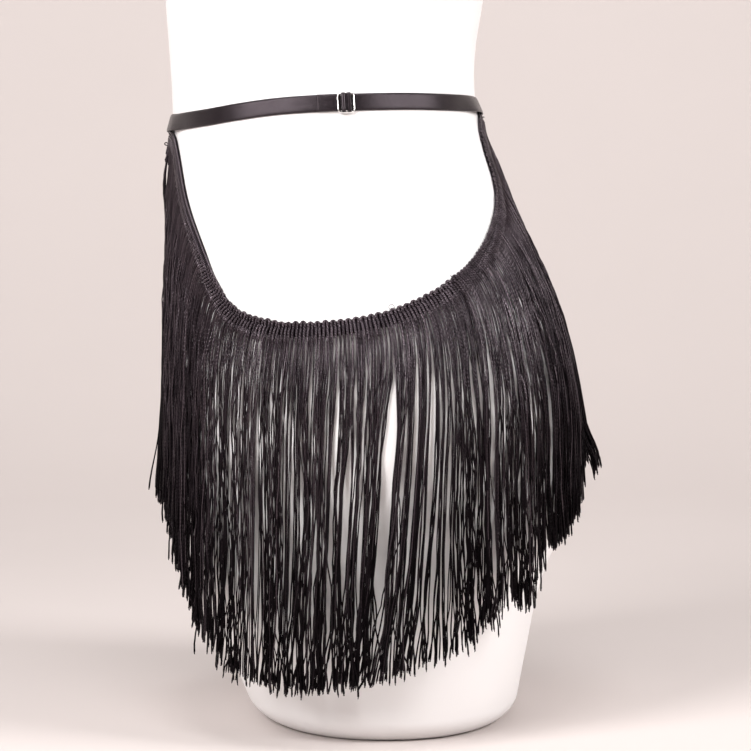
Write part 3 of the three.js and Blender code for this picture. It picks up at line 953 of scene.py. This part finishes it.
def parted(along):
    """How far the partings push a strand sideways down its length, and how free it is to stray. Near an
    open parting it lies close to the form."""
    roots = np.interp(partings["angle"], trim_angles, trim_lengths)
    t = STRAND_STOPS[:, None]
    away = along - roots
    open_share = smooth(t, partings["opens"], partings["opens"] + PARTING_OPENING)
    open_share = open_share * (1 - 0.15 * smooth(t, 150, 192))
    near = np.exp(-np.abs(away) / PARTING_PUSH_REACH)
    push = np.sign(away) * partings["width"] / 2 * near * open_share
    near = np.exp(-((away / PARTING_LEAN_REACH) ** 2))
    lean = partings["lean"] * near * (t / STRAND_LENGTH) ** 1.3
    near = np.exp(-((away / PARTING_HOLD_REACH) ** 2))
    held = near * open_share * (1 - 0.6 * smooth(t, 130, 190))
    return (push + lean).sum(1), 1 - 0.7 * held.max(1)


def clumps(piece):
    """Strands gather into uneven locks, none of them across a parting: each lock's bounds, how far it draws
    in, its lean and its sway."""
    start, end = PIECES[piece]
    bounds = [start]
    while bounds[-1] < end:
        bounds.append(bounds[-1] + rng.uniform(*LOCK_BREADTH))
    parts = np.interp(partings["angle"], trim_angles, trim_lengths)
    bounds = sorted(bounds + [part for part in parts if start < part < bounds[-1]])
    locks = []
    for low, high in zip(bounds[:-1], bounds[1:]):
        reach = rng.normal(0, LOCK_SWAY)
        sway = reach * np.sin(2 * np.pi * (STRAND_STOPS / rng.uniform(*SWAY_LENGTH) + rng.random()))
        draw = rng.uniform(*LOCK_DRAW) * (0.3 + 0.7 * smooth(low, 110, 190))
        draw = draw * (1 - 0.3 * smooth(low, 310, 370))
        locks.append((low, high, draw, rng.normal(0, LOCK_LEAN), sway))
    return locks


def layers(along):
    """How deep the strands lie on each other: they lie close over the belly, and deeper on the hip."""
    over_hip = smooth(along, 40, 140)
    to_back = smooth(along, trim_length - 110, trim_length - 30)
    depth = LAYERS_AT_FRONT + (LAYERS_AT_HIP - LAYERS_AT_FRONT) * over_hip
    return depth + (LAYERS_AT_BACK - LAYERS_AT_HIP) * to_back


def wave_phase(length):
    return 2 * np.pi * (STRAND_STOPS / (length * rng.uniform(*WAVE_SPREAD)) + rng.random())


def sideways_stray(lean, sway, loose, tip):
    """How far a strand strays sideways: with its lock, in waves of its own, and more towards its end."""
    t = STRAND_STOPS
    share = t / STRAND_LENGTH
    stray = lean * share**1.5 + sway * smooth(t, 5, 70)
    for length, reach in SIDE_WAVES:
        swing = rng.normal(0, reach) * loose * (0.3 + 0.7 * share) * smooth(t, 3, 40)
        stray = stray + swing * np.sin(wave_phase(length))
    stray = stray + rng.normal(0, END_STRAY) * loose * share**2
    return stray + rng.normal(0, TIP_STRAY) * loose * tip


def flares(along):
    """How far strands stand off at the front's first lock, along the front's hem and in one lock behind."""
    t = STRAND_STOPS
    behind = BACK_LOCK[0] < trim_length - along < BACK_LOCK[1]
    return (
        END_STAND_OFF * (along < END_LOCK) * smooth(t, 2, 16) * (1 - 0.9 * smooth(t, 18, 60)),
        END_FLARE * (1 - smooth(along, 20, 70)) * smooth(t, 150, STRAND_LENGTH),
        BACK_FLARE * behind * smooth(t, 162, STRAND_LENGTH) ** 1.5,
    )


def outward_stray(along, layer, free, loose, tip):
    """How far a strand stands off the form: by its layer, in waves of its own, and at its root and end."""
    t = STRAND_STOPS
    share = t / STRAND_LENGTH
    outward = (layer + INNER_LAYER) * (0.6 * smooth(t, 2, STRAND_SETTLE_LENGTH) + 0.4 * smooth(t, 60, 180))
    for length, reach in OUTWARD_WAVES:
        phase = wave_phase(length)
        swing = rng.normal(0, reach) * smooth(t, 4, 30) * (1 - 0.7 * smooth(t, 90, 150))
        outward = outward + swing * np.sin(phase)
    outward = outward * (0.2 + 0.8 * free)
    outward += rng.uniform(-0.3, 0.9) * (1 - smooth(t, 0, 12))
    outward += abs(rng.normal(0, 0.8)) * loose * share**3 + rng.normal(0, 0.7) * tip
    for flare in flares(along):
        outward += flare
    return outward


def strand_path(along, lock, layer):
    """A strand's path and way out, under its place along the trim, in its lock and at its layer."""
    low, high, draw, lean, sway = lock
    points, out, side = column(along)
    middle, _, _ = column((low + high) / 2)
    drawn = ((middle - points) * side).sum(1) * draw * smooth(STRAND_STOPS, 6, 65)
    push, free = parted(along)
    loose = LOOSE_STRAY if rng.random() < LOOSE_CHANCE else 1.0
    tip = smooth(STRAND_STOPS, STRAND_LENGTH - TIP_LENGTH, STRAND_LENGTH) ** TIP_CURVE
    sideways = drawn + push + sideways_stray(lean, sway, loose, tip) * free
    outward = outward_stray(along, layer, free, loose, tip)
    path = clear_of_form(points + side * sideways[:, None] + out * outward[:, None], STRAND_RADIUS + 0.15)
    longer = table_value(hem["angle"], hem["longer"], np.interp(along, trim_lengths, trim_angles))
    stretch = 1 + (longer + rng.normal(0, LENGTH_SPREAD) + LOOSE_LONGER * (loose > 1)) / STRAND_LENGTH
    return path[0] + (path - path[0]) * (1, 1, stretch), out


def frayed_tip(batch, path, tone):
    """Two loose fibres at a strand's cut end."""
    ahead = unit(path[-1] - path[-2])
    for _ in range(TIP_FIBRES):
        way = unit(ahead + rng.normal(0, 0.16, 3))
        bend = np.outer([0, 0, 1], rng.normal(0, 0.15, 3))
        fibre = path[-1] + np.outer([-1.2, 0.5, 1.2], way) + bend
        sideways = unit(np.cross(way, (0.3, 0.5, 0.1)))
        batch.tube(fibre, np.tile(sideways, (3, 1)), TIP_RADII, sides=3, tone=tone)


def rib_near(along, piece):
    """The nearest rib's place along the trim."""
    start, _ = PIECES[piece]
    pitch = RIB_PITCH[piece]
    return start + pitch * (math.floor((along - start) / pitch) + 0.5)


def strand_depth(root, piece):
    """How far out a strand lies among the layers, from 0 to 1."""
    start, end = PIECES[piece]
    depth = rng.random()
    if piece == "front" and 0 < end - LAP_LENGTH - root < LAP_GROOVE:
        return depth / 4
    if piece == "back" and root < start + LAP_GROOVE:
        return OVER_DEPTH + depth / 2
    return depth


def strand_widths():
    """A strand's radius down its length: it is fuller at its root, and its plies spread to its end."""
    t = STRAND_STOPS
    radius = STRAND_RADIUS * rng.uniform(0.86, 1.12)
    spread = STRAND_SPREADING * smooth(t, 50, 150) + 0.4 * smooth(t, 175, STRAND_LENGTH)
    return radius * (1 + 0.2 * (1 - smooth(t, 0, 12)) + spread)


def fringe_pieces(side, piece, material):
    """A length's strands, as two meshes: the ones near the form, and the ones that lie over them."""
    start, end = PIECES[piece]
    last = end - 1.5 if piece == "front" else end
    inner, outer = clumps(piece), clumps(piece)
    under, over = (Batch(mirrored=side == "right") for _ in range(2))
    for root in np.arange(start + 0.5, last - 0.3, STRAND_PITCH):
        along = float(np.clip(root + rng.normal(0, ROOT_SPREAD), start, end - 0.01))
        depth = strand_depth(root, piece)
        is_over = depth > OVER_DEPTH
        lock = next(k for k in (outer if is_over else inner) if k[0] <= along < k[1])
        path, out = strand_path(along, lock, layers(along) * depth)
        rise = lap_lift(np.array([along]), piece)[0] * (1 - smooth(STRAND_STOPS, 20, 120))
        gather = (rib_near(root, piece) - along) * ROOT_GATHER * is_over
        gather = gather * (1 - smooth(STRAND_STOPS, 4, 28))
        path = path + out * rise[:, None] + np.cross([0, 0, 1.0], out) * gather[:, None]
        widths = strand_widths()
        # Each strand's tone is random, and lower the deeper it lies among the layers: painted shade on the
        # under strands, and on the front's strands in the lap's groove.
        tone = rng.random() ** 2 * (0.15 + 0.9 * depth)
        batch = over if is_over else under
        batch.tube(path, out, widths, tone=tone)
        frayed_tip(batch, path, tone)
    name = f"{side}_{piece}"
    for batch, place in ((under, "under"), (over, "over")):
        settle(batch.build(f"strands_{name}_{place}", material), "strand", f"fringe_{name}")


# Loose threads
def tuft(batch, root, way, count, length, radius=0.22, droop=0.0, spread=0.22):
    """A frayed end: short cords that fan out from one place and droop."""
    for _ in range(count):
        aim = unit(way + rng.normal(0, spread, 3))
        bend = rng.normal(0, 0.8 * spread, 3) - (0, 0, droop)
        t = np.linspace(0, 1, len(TUFT_TAPER))[:, None] * length * rng.uniform(0.6, 1.1)
        path = root + rng.normal(0, 0.4, 3) + aim * t + bend * t**2 / length
        sideways = unit(np.cross(aim, (0.2, 0.3, 0.9)))
        batch.tube(path, np.tile(sideways, (7, 1)), radius * TUFT_TAPER, sides=6, tone=0.5)


def curl(batch, root, reach, size, radius):
    """A short end of cord that stands out from a place and curls over."""
    turn = np.linspace(-0.5, 0.9, 10) * np.pi
    hook = np.stack([0.3 * turn / np.pi, -reach - np.cos(turn), np.sin(turn) + 1], 1) * (1, 1, size)
    stem = np.array([[0, 0, -0.6], [0, -reach / 3, -0.4], [0, -reach / 1.5, -0.1]])
    path = root + np.concatenate([stem, hook])
    batch.tube(path, np.tile([1.0, 0, 0], (13, 1)), radius, sides=6, tone=0.4)


def threads_piece(material):
    """The tufts at the trim's ends and at its join, the curl in front, and the loop on its edge."""
    batch = Batch()
    front = on_trim(1.2, 5.0, 1.4, "front")
    tuft(batch, front, np.array([0.1, -0.2, -1.0]), 8, 5.0, 0.55, spread=0.09)
    tuft(batch, front, np.array([0.15, -0.16, -1.0]), 26, 15, 0.5, spread=0.07)
    curl(batch, front - (0, 0, 4.2), 3.0, 0.8, 0.36)
    back = on_trim(trim_length - 1.2, 3.0, 1.4, "back")
    tuft(batch, back, np.array([0.1, 0.8, 0.2]), 6, 2.6, 0.4, droop=0.5)
    tuft(batch, back, np.array([0.1, 0.35, -1.0]), 12, 7, 0.42)
    join = on_trim(join_along - LAP_LENGTH + 0.6, 0.6, 1.4, "back")
    tuft(batch, join, np.array([0.5, -0.6, 0.6]), 5, 3.2, 0.12)
    turn = np.linspace(0.15, 0.85, 12) * 2 * np.pi - np.pi / 2
    loop_along = float(np.interp(LOOP_ANGLE, trim_angles, trim_lengths))
    across = -1.2 - LOOP_RADIUS * np.sin(turn)
    loop = on_trim(loop_along + LOOP_RADIUS * np.cos(turn), across, np.full(12, 1.6), "front")
    batch.tube(loop, field(loop)[1], 0.17, sides=5, tone=0.1)
    return settle(batch.build("loose_threads", material), "trim")


# Studio
def floor_piece():
    """A wide pale floor that sweeps up into a round wall."""
    profile = [(0.001, 0), (FLOOR_REACH / 2, 0), (FLOOR_REACH, 0)]
    for turn in np.linspace(0, np.pi / 2, 13)[1:]:
        profile.append((FLOOR_REACH + WALL_BEND * math.sin(turn), WALL_BEND * (1 - math.cos(turn))))
    profile.append((FLOOR_REACH + WALL_BEND, WALL_HEIGHT))
    turns = np.linspace(0, 2 * np.pi, FLOOR_SIDES + 1)[:-1]
    points = [(r * math.cos(a), r * math.sin(a), z) for r, z in profile for a in turns]
    faces = []
    for i in range(len(profile) - 1):
        near, far = i * FLOOR_SIDES, (i + 1) * FLOOR_SIDES
        for k in range(FLOOR_SIDES):
            after = (k + 1) % FLOOR_SIDES
            faces.append((near + k, far + k, far + after, near + after))
    mesh = bpy.data.meshes.new("studio_floor")
    mesh.from_pydata(points, [], faces)
    mesh.polygons.foreach_set("use_smooth", np.full(len(faces), True))
    mesh.materials.append(plain_material("studio", (0.6, 0.54, 0.52), 0.9))
    floor = bpy.data.objects.new("studio_floor", mesh)
    bpy.context.scene.collection.objects.link(floor)


def area_light(name, place, size, power, target):
    lamp = bpy.data.lights.new(name, "AREA")
    lamp.shape = "RECTANGLE"
    lamp.size, lamp.size_y = size
    lamp.energy = power
    holder = bpy.data.objects.new(name, lamp)
    holder.location = place
    holder.rotation_euler = (Vector(target) - Vector(place)).to_track_quat("-Z", "Y").to_euler()
    bpy.context.scene.collection.objects.link(holder)


def studio():
    floor_piece()
    for light in LIGHTS:
        area_light(*light)
    world = bpy.data.worlds.new("studio_light")
    world.use_nodes = True
    background = world.node_tree.nodes["Background"]
    background.inputs[0].default_value = WORLD_COLOUR
    background.inputs[1].default_value = WORLD_STRENGTH
    bpy.context.scene.world = world
    bpy.context.scene.view_settings.view_transform = "Standard"


def camera():
    """The photograph's view."""
    data = bpy.data.cameras.new("camera")
    data.lens = CAMERA_LENS
    data.sensor_width = 36
    holder = bpy.data.objects.new("camera", data)
    holder.location = Vector((CAMERA_DISTANCE, CAMERA_SIDEWAYS, CAMERA_HEIGHT)) * MM
    aim = Vector((-math.cos(CAMERA_PITCH), 0, -math.sin(CAMERA_PITCH)))
    holder.rotation_euler = aim.to_track_quat("-Z", "Y").to_euler()
    bpy.context.scene.collection.objects.link(holder)
    bpy.context.scene.camera = holder


camera()
studio()
form_piece()
elastic = elastic_material()
strap_piece(elastic)
tail_piece(elastic)
slider_piece()
braid = cord_material("braid", (0.003, 0.002, 0.0027), (0.055, 0.042, 0.051), 1.5, 0.00028)
cord = cord_material("cord", (0.0028, 0.002, 0.0024), (0.024, 0.0175, 0.0215), 2.4, 0.00005, shading_and_dulling=0.0045)
for side in ("left", "right"):
    for piece in PIECES:
        trim_piece(side, piece, braid)
        fringe_pieces(side, piece, cord)
threads_piece(braid)
